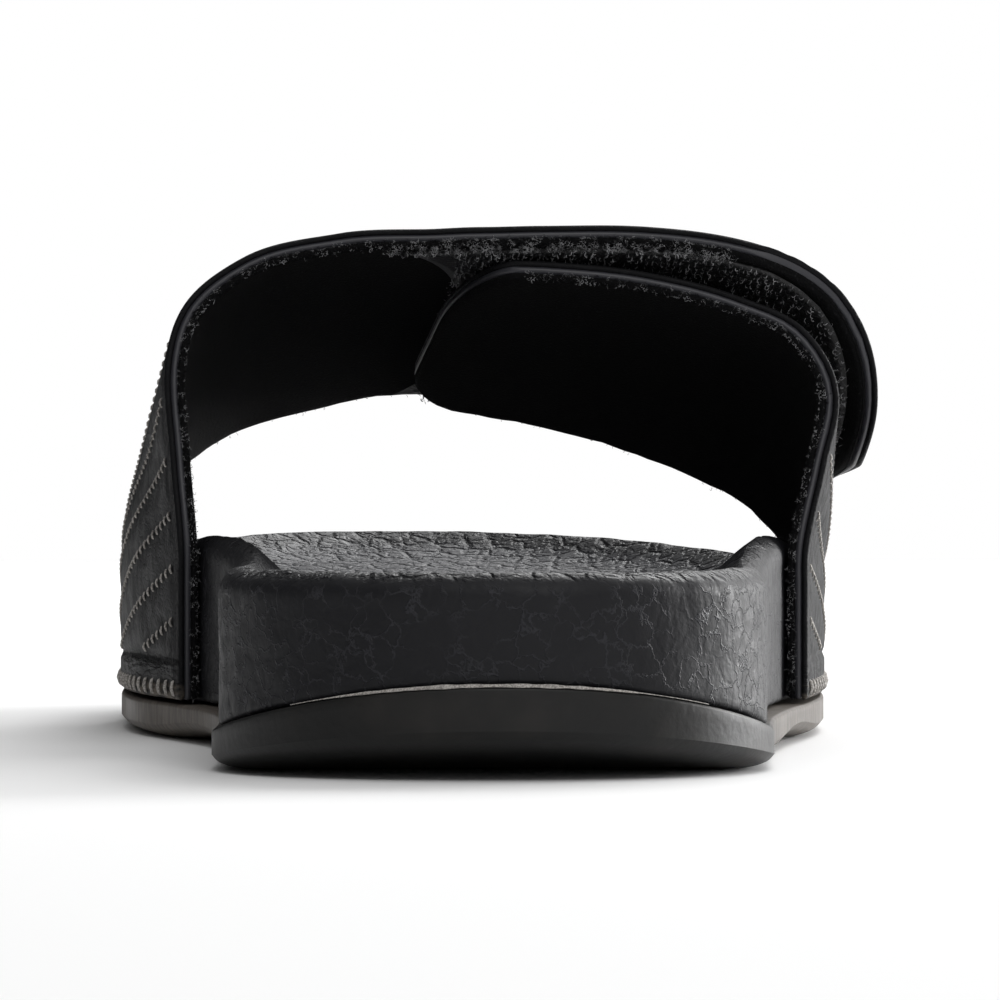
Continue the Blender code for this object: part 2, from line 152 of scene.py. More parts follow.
def ring(inset_at, share_in=1.0):
    """Plan points of one ring: the sole's outline moved in, then drawn towards the spine."""
    turn = np.arange(RING_POINTS) * 2 * math.pi / RING_POINTS
    share = (1 - np.cos(turn)) / 2
    side = np.where(turn < math.pi, 1.0, -1.0)
    ends = float(np.min(inset_at(np.array([0.0, LENGTH]))))
    y = ends + share * (LENGTH - 2 * ends)
    centre, half = sole_edges(y)
    x = centre + side * (half - inset_at(y)) * end_rounding(share)
    spine_y = np.clip(y, HEEL_ROUND_END * LENGTH, SPINE_END * LENGTH)
    spine_x = sole_edges(spine_y)[0]
    return spine_x + (x - spine_x) * share_in, spine_y + (y - spine_y) * share_in


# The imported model's frame: its outsole gives where the sole's outline lies in it
outline = ring(lambda y: 0 * y)
outsole_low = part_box("outsole")[0]
SHIFT = np.array([outsole_low[0] - outline[0].min(), outsole_low[1] - outline[1].min(), outsole_low[2]])


def swell(points, size, seed):
    """Soft noise of about -1 to 1: the sum of nine sine waves of about one length, each its own way."""
    draw = np.random.default_rng(seed)
    total = np.zeros(points.shape[:-1])
    for _ in range(9):
        way = draw.normal(size=3)
        way *= 2 * math.pi / size * draw.uniform(0.7, 1.4) / np.linalg.norm(way)
        total += np.sin(points @ way + draw.uniform(0, 2 * math.pi))
    return total / 3


def mesh_from(name, points, faces):
    """Smooth closed mesh in the frame, welded where its points meet and faced outwards."""
    mesh = bpy.data.meshes.new(name)
    mesh.from_pydata((points + SHIFT).tolist(), [], faces)
    work = bmesh.new()
    work.from_mesh(mesh)
    bmesh.ops.remove_doubles(work, verts=work.verts, dist=0.00001)
    bmesh.ops.dissolve_degenerate(work, edges=work.edges, dist=0.000001)
    bmesh.ops.recalc_face_normals(work, faces=work.faces)
    work.to_mesh(mesh)
    work.free()
    mesh.shade_smooth()
    return mesh


def loft(name, rings):
    """Closed mesh through rings of equal count, whose first and last lie on the spine."""
    points = np.concatenate([np.column_stack(ring_points) for ring_points in rings])
    low = np.arange(len(rings) - 1)[:, None] * RING_POINTS
    here = np.arange(RING_POINTS)[None, :]
    after = (here + 1) % RING_POINTS
    corners = [low + here, low + after, low + RING_POINTS + after, low + RING_POINTS + here]
    faces = np.stack(corners, -1).reshape(-1, 4).tolist()
    return mesh_from(name, points, faces)


def linear(code):
    """Colour of a shader input from an sRGB hex code."""
    parts = [int(code[k : k + 2], 16) / 255 for k in (1, 3, 5)]
    return (*[c / 12.92 if c <= 0.04045 else ((c + 0.055) / 1.055) ** 2.4 for c in parts], 1.0)


def add(tree, kind, links=None, **settings):
    """Add a shader node with its settings, and set or link its inputs."""
    made = tree.nodes.new("ShaderNode" + kind)
    for name, value in settings.items():
        setattr(made, name, value)
    for name, value in (links or {}).items():
        if isinstance(value, bpy.types.NodeSocket):
            tree.links.new(value, made.inputs[name])
        else:
            made.inputs[name].default_value = value
    return made


def new_material(name):
    """Material with an empty shader, its tree and the place of each point in metres."""
    made = bpy.data.materials.new(name)
    made.use_nodes = True
    tree = made.node_tree
    shader = tree.nodes["Principled BSDF"]
    place = add(tree, "TexCoord").outputs["Object"]
    return made, tree, shader, place


def times(tree, first, second):
    """Product of two values."""
    return add(tree, "Math", {0: first, 1: second}, operation="MULTIPLY").outputs[0]


def between(tree, value, low, high, start=0.0, end=1.0):
    """Map Range node from low..high to start..end, clamped and eased."""
    links = {"Value": value, "From Min": low, "From Max": high, "To Min": start, "To Max": end}
    return add(tree, "MapRange", links, interpolation_type="SMOOTHSTEP").outputs["Result"]


def mixed(tree, share, first, second):
    """Mix two colours by a share."""
    made = add(tree, "Mix", data_type="RGBA")
    for index, value in ((0, share), (6, first), (7, second)):
        if isinstance(value, bpy.types.NodeSocket):
            tree.links.new(value, made.inputs[index])
        else:
            made.inputs[index].default_value = value
    return made.outputs[2]


def bumped(tree, height, depth, under=None):
    """Bump of a depth in metres for a height of 1, on top of another bump."""
    links = {"Height": height, "Distance": depth, "Strength": 1.0}
    if under:
        links["Normal"] = under
    return add(tree, "Bump", links).outputs["Normal"]


def piece(name, mesh, material, node):
    """Put a mesh into the scene as a piece that rides on the sandal in place of its CAD node."""
    mesh.materials.append(material)
    made = bpy.data.objects.new(name, mesh)
    bpy.context.scene.collection.objects.link(made)
    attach(made, "root")
    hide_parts(node)
    return made


# The underside turns up towards its edge: inset from the edge, and share of the lift there
Margin = namedtuple("Margin", "inset lift")
TREAD_EDGE = (
    Margin(0.0, 1.35),
    Margin(0.0006, 0.86),
    Margin(0.0018, 0.42),
    Margin(0.0036, 0.10),
    Margin(0.0060, 0.0),
)
# Rings of the loft: shares out from the spine over the tread, insets over its turned-up edge, shares
# up the band, and shares out from the spine on the ledge
TREAD_SHARES = (0.0, 0.1, 0.2, 0.3, 0.4, 0.5, 0.6, 0.7, 0.8, 0.9)
EDGE_INSETS = (0.0060, 0.0050, 0.0040, 0.0030, 0.0022, 0.0016, 0.0011, 0.0007, 0.0004, 0.0002, 0.0)
BAND_SHARES = (0.25, 0.5, 0.75)
LEDGE_SHARES = (0.97, 0.94, 0.88, 0.6, 0.3, 0.0)

rings = []
for share_in in TREAD_SHARES:
    x, y = ring(lambda y: TREAD_EDGE[-1].inset + 0 * y, share_in)
    rings.append((x, y, underside(y)))
for inset in EDGE_INSETS:
    x, y = ring(lambda y: inset + 0 * y)
    lift = smooth([margin.inset for margin in TREAD_EDGE], [margin.lift for margin in TREAD_EDGE], inset)
    rings.append((x, y, underside(y) + TREAD_EDGE_LIFT * float(lift)))
for way in BAND_SHARES:
    low, high = underside(y) + TREAD_EDGE_LIFT * TREAD_EDGE[0].lift, ledge(y) - BAND_ROUND
    rings.append((x, y, low + (high - low) * way))
for angle in np.linspace(0, math.pi / 2, 5):
    x, y = ring(lambda y: BAND_ROUND * (1 - math.cos(angle)) + 0 * y)
    rings.append((x, y, ledge(y) - BAND_ROUND * (1 - math.sin(angle))))
for share_in in LEDGE_SHARES:
    x, y = ring(lambda y: BAND_ROUND + 0 * y, share_in)
    rings.append((x, y, ledge(y)))

# Zigzag grooves across the tread, 2.2 mm wide, 1.2 mm deep and 11.5 mm apart
GROOVE_WIDTH = 0.0022
GROOVE_DEPTH = 0.0012
GROOVE_PITCH = 0.0115
GROOVE_ZIGZAG = 0.0030
GROOVE_LEG = 0.0110
GROOVE_MARGIN = 0.0080
GROOVES_END = 0.9


def groove_bars():
    """Bars that cut the grooves, each following the underside's own line."""
    work = bmesh.new()
    at_y = []
    for start, end in ((HEEL_BEVEL_RUN, ARCH_START), (ARCH_END, GROOVES_END * LENGTH)):
        count = int((end - start) // GROOVE_PITCH)
        first = (start + end - (count - 1) * GROOVE_PITCH) / 2
        at_y += [first + k * GROOVE_PITCH for k in range(count)]
    for station in at_y:
        centre, half = sole_edges(np.array([station]))
        half_run = float(half[0] * end_rounding(station / LENGTH)) - GROOVE_MARGIN
        legs = max(2, int(round(2 * half_run / GROOVE_LEG)))
        previous = None
        for k in range(legs + 1):
            x = float(centre[0]) - half_run + 2 * half_run * k / legs
            y = station + GROOVE_ZIGZAG / 2 * (-1) ** k
            section = []
            for side, top in ((-1, 0), (1, 0), (1, 1), (-1, 1)):
                edge = y + side * GROOVE_WIDTH / 2
                bottom = float(underside(np.array([edge]))[0])
                z = bottom + GROOVE_DEPTH if top else bottom - 2 * GROOVE_DEPTH
                section.append(work.verts.new(Vector((x, edge, z)) + Vector(SHIFT)))
            if previous:
                for n in range(4):
                    m = (n + 1) % 4
                    work.faces.new((previous[n], previous[m], section[m], section[n]))
            else:
                work.faces.new(section)
            previous = section
        work.faces.new(previous[::-1])
    bmesh.ops.recalc_face_normals(work, faces=work.faces)
    mesh = bpy.data.meshes.new("groove_bars")
    work.to_mesh(mesh)
    work.free()
    return mesh


whole = bpy.data.objects.new("whole_outsole", loft("whole_outsole", rings))
cutter = bpy.data.objects.new("groove_bars", groove_bars())
for made in (whole, cutter):
    bpy.context.scene.collection.objects.link(made)
cut = whole.modifiers.new("tread", "BOOLEAN")
cut.operation = "DIFFERENCE"
cut.object = cutter
bpy.context.view_layer.update()
ready = whole.evaluated_get(bpy.context.evaluated_depsgraph_get())
outsole_mesh = bpy.data.meshes.new_from_object(ready)
outsole_mesh.name = "outsole_look"
outsole_mesh.shade_smooth()
outsole_mesh.set_sharp_from_angle(angle=math.radians(30))
for made in (whole, cutter):
    bpy.data.objects.remove(made)

rubber, tree, shader, place = new_material("outsole_rubber")
speck = add(tree, "TexNoise", {"Vector": place, "Scale": 900.0, "Detail": 4.0}).outputs["Fac"]
cloud = add(tree, "TexNoise", {"Vector": place, "Scale": 45.0, "Detail": 5.0}).outputs["Fac"]
# Streaks run up the band: 1.1 mm wide and 6 mm tall
streak_place = add(tree, "Mapping", {"Vector": place, "Scale": (900.0, 900.0, 160.0)}).outputs[0]
streak = add(tree, "TexNoise", {"Vector": streak_place, "Scale": 1.0, "Detail": 3.0}).outputs["Fac"]
forward = add(tree, "SeparateXYZ", {"Vector": place}).outputs["Y"]
# The dust lies beside the ball: it begins 50 to 100 mm behind the middle and fades out before the toe
beside = times(tree, between(tree, forward, -0.10, -0.05), between(tree, forward, 0.05, 0.12, 1.0, 0.15))
dust = times(tree, between(tree, streak, 0.30, 0.70, 0.42, 0.80), beside)
film = between(tree, cloud, 0.45, 0.75, 0.0, 0.10)
dust = add(tree, "Math", {0: dust, 1: film}, operation="MAXIMUM").outputs[0]
tint = mixed(tree, dust, linear("#131313"), linear("#736b63"))
tree.links.new(tint, shader.inputs["Base Color"])
tree.links.new(between(tree, cloud, 0.3, 0.7, 0.42, 0.55), shader.inputs["Roughness"])
shader.inputs["Specular IOR Level"].default_value = 0.3
grain = bumped(tree, speck, 0.00005)
tree.links.new(bumped(tree, cloud, 0.0006, grain), shader.inputs["Normal"])
piece("outsole_look", outsole_mesh, rubber, "outsole")


def tubes(paths, radii, sides):
    """Points and faces of many closed tubes: a path of points each, with a radius at each point."""
    count, steps = radii.shape
    tangent = np.gradient(paths, axis=1)
    tangent /= np.linalg.norm(tangent, axis=2, keepdims=True)
    first = np.cross(tangent, np.array([0.31, 0.87, 0.38]))
    first /= np.linalg.norm(first, axis=2, keepdims=True)
    second = np.cross(first, tangent)
    turn = np.arange(sides) * 2 * math.pi / sides
    spokes = first[:, :, None] * np.cos(turn)[:, None] + second[:, :, None] * np.sin(turn)[:, None]
    points = paths[:, :, None] + spokes * radii[:, :, None, None]
    start = (np.arange(count) * steps * sides)[:, None, None]
    level = (np.arange(steps - 1) * sides)[None, :, None]
    here = np.arange(sides)[None, None, :]
    after = (here + 1) % sides
    a, b = start + level + here, start + level + after
    faces = np.stack([a, b, b + sides, a + sides], -1).reshape(-1, 4).tolist()
    low = start[:, 0] + np.arange(sides)[::-1]
    high = start[:, 0] + (steps - 1) * sides + np.arange(sides)
    return points.reshape(-1, 3), faces + low.tolist() + high.tolist()


def speckled(name, dark, light):
    """Dull material in two colours, mixed by noise of 0.3 mm that also roughens it."""
    made, tree, shader, place = new_material(name)
    speck = add(tree, "TexNoise", {"Vector": place, "Scale": 3500.0, "Detail": 1.0}).outputs["Fac"]
    tree.links.new(bumped(tree, speck, 0.00008), shader.inputs["Normal"])
    tint = mixed(tree, between(tree, speck, 0.35, 0.65), linear(dark), linear(light))
    tree.links.new(tint, shader.inputs["Base Color"])
    shader.inputs["Roughness"].default_value = 0.8
    return made


# A pale lip on the band's top edge at the heel. It is a raised flash line, painted pale as a painted
# highlight where the top light catches the edge: 0.1 mm thick, and about 0.5 mm in its middle, where the
# painted highlight is strongest
LIP_TURN = 0.42
LIP_INSET = 0.0002
LIP_OFF = 0.0001
LIP_RADIUS = 0.00006
LIP_HIGHLIGHT_RADIUS = 0.00020

turn = np.linspace(-LIP_TURN, LIP_TURN, 400)
share = (1 - np.cos(turn)) / 2
y = share * LENGTH
centre, half = sole_edges(y)
x = centre + np.sign(turn) * (half - LIP_INSET) * end_rounding(share)
lip_path = np.stack([x, y + LIP_OFF, ledge(y) + LIP_OFF], -1)
# Painted highlight: the lip thickens over the middle of the heel, where the edge catches the top light most
painted_light = ease(-0.026, -0.012, x) * (1 - ease(0.012, 0.024, x))
ragged = 1 + 0.35 * swell(lip_path, 0.004, 31)
lip_radius = LIP_RADIUS + LIP_HIGHLIGHT_RADIUS * painted_light * np.clip(ragged, 0.4, 1.6)
# Pale grey of the lip: painted highlight
painted_highlight_rubber = speckled("painted_highlight_rubber", "#7f7b77", "#b4b0ab")
made = tubes(lip_path[None], lip_radius[None], 6)
piece("outsole_lip", mesh_from("outsole_lip", *made), painted_highlight_rubber, "outsole")


# ---------------------------------------------------------------- footbed
# One block of moulded foam, 29 mm high at the heel, with an upright wall, a soft rim of 3.6 mm radius
# and a bed dished by up to 7 mm. Its skin is crinkled: deep folds on the bed, fine veins on the wall.
HEEL_HEIGHT = 0.0288
FIT = 0.0003
STRAP_THICKNESS = 0.0030
STRAP_REAR = 0.130
STRAP_FRONT = 0.215
LEDGE_AT_ENDS = 0.0008
RIM_ROUND = 0.0036
DISH_DEPTH = 0.0066
FOOT_ROUND = 0.0008

Bed = namedtuple("Bed", "station rim dish")
BED_TABLE = (
    Bed(0.00, 1.00, 0.90),
    Bed(0.15, 0.99, 1.00),
    Bed(0.30, 0.98, 1.05),
    Bed(0.45, 1.07, 1.10),
    Bed(0.55, 1.02, 1.05),
    Bed(0.65, 0.94, 0.92),
    Bed(0.75, 0.88, 0.78),
    Bed(0.85, 0.85, 0.66),
    Bed(0.93, 0.79, 0.55),
    Bed(1.00, 0.705, 0.48),
)
BED_FALL = ((0.0, 0.0), (0.06, 0.24), (0.14, 0.60), (0.26, 0.87), (0.48, 0.97), (0.75, 1.0), (1.0, 1.0))


def rim(y):
    """Height of the footbed's rim."""
    station = [row.station for row in BED_TABLE]
    return smooth(station, [row.rim for row in BED_TABLE], y / LENGTH) * HEEL_HEIGHT + toe_spring(y)


def dish(y):
    """How far the middle of the bed lies below the rim."""
    station = [row.station for row in BED_TABLE]
    return smooth(station, [row.dish for row in BED_TABLE], y / LENGTH) * DISH_DEPTH


def wall_inset(y):
    """How far the wall stands in from the sole's edge: room for the straps."""
    beside_straps = ease(0.45 * STRAP_REAR, STRAP_REAR, y) * (1 - ease(STRAP_FRONT, LENGTH - 0.02, y))
    return LEDGE_AT_ENDS + (STRAP_THICKNESS + FIT - LEDGE_AT_ENDS) * beside_straps


rings = []
for share_in in (0.0, 0.35, 0.62, 0.84):
    x, y = ring(lambda y: wall_inset(y) + FOOT_ROUND, share_in)
    rings.append((x, y, ledge(y) + FIT))
for angle in np.linspace(0, math.pi / 2, 4):
    x, y = ring(lambda y: wall_inset(y) + FOOT_ROUND * (1 - math.sin(angle)))
    rings.append((x, y, ledge(y) + FIT + FOOT_ROUND * (1 - math.cos(angle))))
for way in np.linspace(0, 1, 20)[1:-1]:
    low, high = ledge(y) + FIT + FOOT_ROUND, rim(y) - RIM_ROUND
    rings.append((x, y, low + (high - low) * way))
for angle in np.linspace(0, math.pi / 2, 10):
    x, y = ring(lambda y: wall_inset(y) + RIM_ROUND * (1 - math.cos(angle)))
    rings.append((x, y, rim(y) - RIM_ROUND * (1 - math.sin(angle))))
for way in np.linspace(0, 1, 40)[1:]:
    x, y = ring(lambda y: wall_inset(y) + RIM_ROUND, 1 - way)
    rings.append((x, y, rim(y) - dish(y) * smooth(*zip(*BED_FALL), way)))

bed_mesh = loft("footbed_look", rings)
count = len(bed_mesh.vertices)
points, normals = np.zeros(count * 3), np.zeros(count * 3)
bed_mesh.vertices.foreach_get("co", points)
bed_mesh.vertices.foreach_get("normal", normals)
points, normals = points.reshape(-1, 3), normals.reshape(-1, 3)
# Soft lumps of 13 mm, and of 6 mm towards the rim, all within 0.15 mm of an even skin
above = ease(0.4 * HEEL_HEIGHT, 0.9 * HEEL_HEIGHT, points[:, 2])
lumps = 0.00010 * swell(points, 0.013, 3) + 0.00005 * above * swell(points, 0.006, 4) - 0.00015
bed_mesh.vertices.foreach_set("co", (points + normals * lumps[:, None]).ravel())

# Painted top light: the bed, which faces up, is painted paler than the rim, as if lit from above. Each point
# gets a share from its depth below the rim and how far it faces up
depth = rim(points[:, 1] - SHIFT[1]) - points[:, 2]
painted_light = ease(0.0008, 0.0030, depth) * ease(0.7, 0.9, normals[:, 2])
bed_mesh.attributes.new("painted_light", "FLOAT", "POINT").data.foreach_set("value", painted_light)

foam, tree, shader, place = new_material("footbed_foam")


def bent_place(tree, place, scale, reach):
    """Place of each point pushed about by noise, so that cell edges wander."""
    push = add(tree, "TexNoise", {"Vector": place, "Scale": scale, "Detail": 4.0, "Roughness": 0.6})
    push = add(tree, "VectorMath", {0: push.outputs["Color"], 1: (reach,) * 3}, operation="MULTIPLY")
    return add(tree, "VectorMath", {0: place, 1: push.outputs[0]}, operation="ADD").outputs[0]


def cell_edge(tree, place, scale):
    """Distance to the edge of irregular cells, in cell sizes."""
    made = add(tree, "TexVoronoi", {"Vector": place, "Scale": scale}, feature="DISTANCE_TO_EDGE")
    return made.outputs["Distance"]


# Folds on the bed: puffy cells of 4.5 mm with finer ones of 2 mm between thin meandering creases
wander = bent_place(tree, place, 260.0, 0.0034)
large = between(tree, cell_edge(tree, wander, 220.0), 0.0, 0.16)
small = between(tree, cell_edge(tree, wander, 520.0), 0.0, 0.22)
patchy = add(tree, "TexNoise", {"Vector": place, "Scale": 110.0, "Detail": 3.0}).outputs["Fac"]
facing = add(tree, "SeparateXYZ", {"Vector": add(tree, "NewGeometry").outputs["Normal"]}).outputs["Z"]
on_top = between(tree, facing, 0.60, 0.94, 0.07, 1.0)
# Veins on the wall: thin raised lines round cells of 3.7 mm, broken up; they also carry a painted highlight
vein_and_highlight = cell_edge(tree, bent_place(tree, place, 300.0, 0.0050), 270.0)
vein_and_highlight = times(tree, between(tree, vein_and_highlight, 0.0, 0.060, 1.0, 0.0), between(tree, patchy, 0.34, 0.56))
vein_and_highlight = times(tree, vein_and_highlight, between(tree, facing, 0.2, 0.7, 1.0, 0.0))
pore = add(tree, "TexNoise", {"Vector": place, "Scale": 1500.0, "Detail": 3.0}).outputs["Fac"]
dent = add(tree, "TexNoise", {"Vector": place, "Scale": 420.0, "Detail": 3.0}).outputs["Fac"]
relief = bumped(tree, pore, 0.00004)
relief = bumped(tree, dent, 0.00006, relief)
relief = bumped(tree, times(tree, small, on_top), 0.00014, relief)
relief = bumped(tree, times(tree, large, on_top), 0.00042, relief)
relief = bumped(tree, vein_and_highlight, 0.00010, relief)
tree.links.new(bumped(tree, patchy, 0.0003, relief), shader.inputs["Normal"])
# Painted highlight: the raised veins are painted paler, as where they catch the light
tint = mixed(tree, vein_and_highlight, linear("#17171a"), linear("#2a2a2e"))
# Painted top light: the up-facing bed is mixed towards a paler grey
painted_light = add(tree, "Attribute", attribute_name="painted_light").outputs["Fac"]
tint = mixed(tree, painted_light, tint, linear("#323236"))
tree.links.new(tint, shader.inputs["Base Color"])
tree.links.new(between(tree, dent, 0.3, 0.7, 0.46, 0.58), shader.inputs["Roughness"])
shader.inputs["Specular IOR Level"].default_value = 0.22
piece("footbed_look", bed_mesh, foam, "footbed")


# ---------------------------------------------------------------- under strap
# The strap from the outer side of the sole: quilted leather in two plies of about 1 mm with a folded
# rear edge, sewn to a raw-edged cloth lining 1.4 mm thick. Its rounded end lies under the other strap.
INSTEP_HEIGHT = 0.0709
BALL_HEIGHT = 0.0575
FRONT_HEIGHT = 0.0462
STRAP_LEAN = 0.010
STRAP_LIFT_OFF_LEDGE = 0.0004
LAYER_GAP = 0.0005
PATCH_THICKNESS = 0.0009
BALL_LINE = 0.55
BESIDE_WALL = (0.0, 0.4, 0.7, 0.86)
UNDER_END = 0.483
UNDER_END_SLANT = -0.02
UNDER_REAR = 0.015
UNDER_FRONT = 0.895
UNDER_NARROW_FULL = 0.75
UNDER_NARROW_GONE = 0.95

# The last over the instep, from the inner side to the outer. Across is a share of half the ball
# width, and up is a share of that section's own height.
Fold = namedtuple("Fold", "rear_across rear_up ball_across ball_up front_across front_up")
INSTEP_FOLDS = (
    Fold(-0.750, 0.606, -0.849, 0.640, -0.862, 0.671),
    Fold(-0.763, 0.788, -0.815, 0.757, -0.808, 0.792),
    Fold(-0.719, 0.896, -0.735, 0.880, -0.720, 0.887),
    Fold(-0.568, 0.982, -0.583, 0.966, -0.596, 0.967),
    Fold(-0.326, 1.000, -0.354, 1.000, -0.391, 0.994),
    Fold(-0.056, 0.976, -0.093, 0.991, -0.130, 1.000),
    Fold(0.233, 0.973, 0.186, 0.965, 0.149, 0.952),
    Fold(0.512, 0.952, 0.456, 0.920, 0.410, 0.877),
    Fold(0.766, 0.902, 0.700, 0.850, 0.633, 0.781),
    Fold(0.922, 0.845, 0.855, 0.783, 0.805, 0.690),
    Fold(0.995, 0.736, 0.968, 0.683, 0.895, 0.621),
    Fold(0.955, 0.592, 1.012, 0.577, 0.954, 0.574),
)


def last_lines(along):
    """Lines of the last from the straps' rear edge (0) to their front edge (1), one per fold."""
    lines = []
    lean = [max(0.0, fold.rear_up - 0.4) / 0.6 for fold in INSTEP_FOLDS]

    def beside(side, up):
        y = STRAP_REAR + (STRAP_FRONT - STRAP_REAR) * along
        centre, half = sole_edges(y)
        low = ledge(y) + FIT + STRAP_LIFT_OFF_LEDGE
        return np.stack([centre + side * (half - STRAP_THICKNESS), y, low + (rim(y) - low) * up], -1)

    lines += [beside(-1, up) for up in BESIDE_WALL]
    for fold, share in zip(INSTEP_FOLDS, lean):
        rear_y = STRAP_REAR + STRAP_LEAN * share
        ends = np.array([0.0, BALL_LINE, 1.0])
        across = np.polyfit(ends, [fold.rear_across, fold.ball_across, fold.front_across], 2)
        up = [fold.rear_up * INSTEP_HEIGHT, fold.ball_up * BALL_HEIGHT, fold.front_up * FRONT_HEIGHT]
        x = np.polyval(across, along) * HALF_BALL
        y = rear_y + (STRAP_FRONT - rear_y) * along
        lines.append(np.stack([x, y, np.polyval(np.polyfit(ends, up, 2), along)], -1))
    lines += [beside(1, up) for up in reversed(BESIDE_WALL)]
    return np.array(lines)


middle = last_lines(np.array([0.0, BALL_LINE]))
steps = np.linalg.norm(np.diff(middle, axis=0), axis=2)
LAST_KNOTS = np.concatenate([[0.0], np.cumsum(steps.mean(axis=1)) / steps.mean(axis=1).sum()])
STRAP_RUN = float(steps[:, 1].sum())
STRAP_WIDTH = STRAP_FRONT - STRAP_REAR - STRAP_LEAN


def last(around, along):
    """Point of the last: a cubic across its lines, at a share round the foot and one along it."""
    lines = last_lines(along)
    slopes = np.gradient(lines, LAST_KNOTS, axis=0)
    around = np.clip(around, 0, 1)
    low = np.clip(np.searchsorted(LAST_KNOTS, around, side="right") - 1, 0, len(LAST_KNOTS) - 2)
    row, column = np.indices(around.shape)
    step = (LAST_KNOTS[low + 1] - LAST_KNOTS[low])[..., None]
    t = (around - LAST_KNOTS[low])[..., None] / step
    start = lines[low, row, column] * (1 + 2 * t) + slopes[low, row, column] * step * t
    end = lines[low + 1, row, column] * (3 - 2 * t) - slopes[low + 1, row, column] * step * (1 - t)
    return start * (1 - t) ** 2 + end * t * t


def last_normal(around, along):
    """Outward normal of the last: the cross product of small steps round it and along it."""
    small = 0.003
    round_way = last(around + small, along) - last(around - small, along)
    long_way = last(around, along + small) - last(around, along - small)
    normal = np.cross(round_way, long_way)
    return normal / np.linalg.norm(normal, axis=-1, keepdims=True)


# The cut front edge wanders by up to this share of the straps' width
CUT_WANDER = 0.0045
# The rounded end's corners at the rear and front edges: how far each falls back, over which width
Corners = namedtuple("Corners", "rear_fall rear_reach front_fall front_reach")
UNDER_CORNERS = Corners(0.008, 0.030, 0.009, 0.018)


def corner(across, corners):
    """How far a strap's end falls back at a share of its width: a quarter ellipse at each side."""
    rear = np.clip(1 - across * STRAP_WIDTH / corners.rear_reach, 0, 1)
    front = np.clip(1 - (1 - across) * STRAP_WIDTH / corners.front_reach, 0, 1)
    at_rear = corners.rear_fall * (1 - np.sqrt(1 - rear ** 2))
    return at_rear + corners.front_fall * (1 - np.sqrt(1 - front ** 2))


def closed_sheet(name, outer, inner):
    """Closed mesh between two grids of points that meet along all four borders."""
    rows, columns = outer.shape[:2]
    low = np.arange(rows - 1)[:, None] * columns + np.arange(columns - 1)[None, :]
    faces = np.stack([low, low + columns, low + columns + 1, low + 1], -1).reshape(-1, 4)
    back = faces[:, ::-1] + rows * columns
    points = np.concatenate([outer.reshape(-1, 3), inner.reshape(-1, 3)])
    return mesh_from(name, points, faces.tolist() + back.tolist())


EDGE_RUN = 0.0006


def stations(length, edge, step):
    """Stations from 0 to length: close together over the rounded edge at either end, then even."""
    near = edge * (1 - np.cos(np.linspace(0, math.pi / 2, 6)))
    inner = np.linspace(edge, length - edge, int((length - 2 * edge) / step) + 2)
    return np.concatenate([near[:-1], inner, length - near[-2::-1]])


def edge_profile(distance, half):
    """Half thickness at a distance in from a rounded edge: a quarter circle, then even."""
    t = np.clip(1 - distance / half, 0, 1)
    return half * np.sqrt(1 - t * t)


# Layers of a strap, as heights of their middles off the last and half thicknesses
Layer = namedtuple("Layer", "middle half inset")
LINING = Layer(0.00070, 0.00068, 0.0002)
INNER_PLY = Layer(0.00168, 0.00054, 0.0)
OUTER_PLY = Layer(0.00266, 0.00048, 0.0)

# Quilting: channels 6.9 mm apart that climb towards the heel at 14 degrees
CHANNEL_PITCH = 0.0069
CHANNEL_SLOPE = math.tan(math.radians(14))
QUILT_DEPTH = 0.00042
PANEL_BOTTOM = 0.0052
PANEL_EDGE = 0.0036
PANEL_CORNER = 0.004
EDGE_LINES = (0.0009, 0.0018, 0.0027)
EDGE_LINE_DEPTH = 0.00013


def channel_phase(up, forward):
    """Position between quilting channels, in pitches, at a height up the strap and a way forward."""
    return (up + CHANNEL_SLOPE * forward - PANEL_BOTTOM) / CHANNEL_PITCH


def quilt(up, rear, front, end):
    """Relief of the outer ply from distances to its edges: cushions between channels in a panel,
    a groove round the panel, and three fine grooves along the folded rear edge."""
    sides = [(up - PANEL_BOTTOM), (rear - PANEL_EDGE), (front - PANEL_EDGE), (end - PANEL_EDGE)]
    inside = np.array([np.clip(PANEL_CORNER - side, 0, None) for side in sides])
    panel = PANEL_CORNER - np.sqrt((inside ** 2).sum(axis=0))
    phase = channel_phase(up, rear)
    cushion = np.abs(np.sin(math.pi * phase)) ** 0.55
    outside = ease(0.0, 0.0006, -panel)
    relief = QUILT_DEPTH * (np.maximum(cushion * ease(0.0, 0.0014, panel), outside) - 1)
    for line in EDGE_LINES:
        relief -= EDGE_LINE_DEPTH * np.exp(-(((rear - line) / 0.00018) ** 2))
    return relief


def strap_layer(name, layer, around, along, up, rear, front, end, lift, relief=0.0):
    """One layer of a strap as a closed sheet with rounded edges."""
    border = np.minimum(np.minimum(rear, front), np.minimum(end, up)) - layer.inset
    half = edge_profile(np.maximum(border, 0), layer.half)
    base, normal = last(around, along), last_normal(around, along)
    high = lift + layer.middle + half + relief * np.clip(border / 0.0004, 0, 1)
    low = lift + layer.middle - half
    outer = base + normal * np.maximum(high, low)[..., None]
    return closed_sheet(name, outer, base + normal * low[..., None])


def rear_stations(step):
    """Stations across a strap: 0.3 mm apart over its folded rear edge, then even."""
    fine = np.arange(0, PANEL_EDGE, 0.0003)
    rest = stations(STRAP_WIDTH, EDGE_RUN, step)
    return np.concatenate([fine, rest[rest > fine[-1] + 0.0002]])


def under_end(across):
    """Share round the foot at which the under strap ends."""
    return UNDER_END + UNDER_END_SLANT * across + corner(across, UNDER_CORNERS) / STRAP_RUN


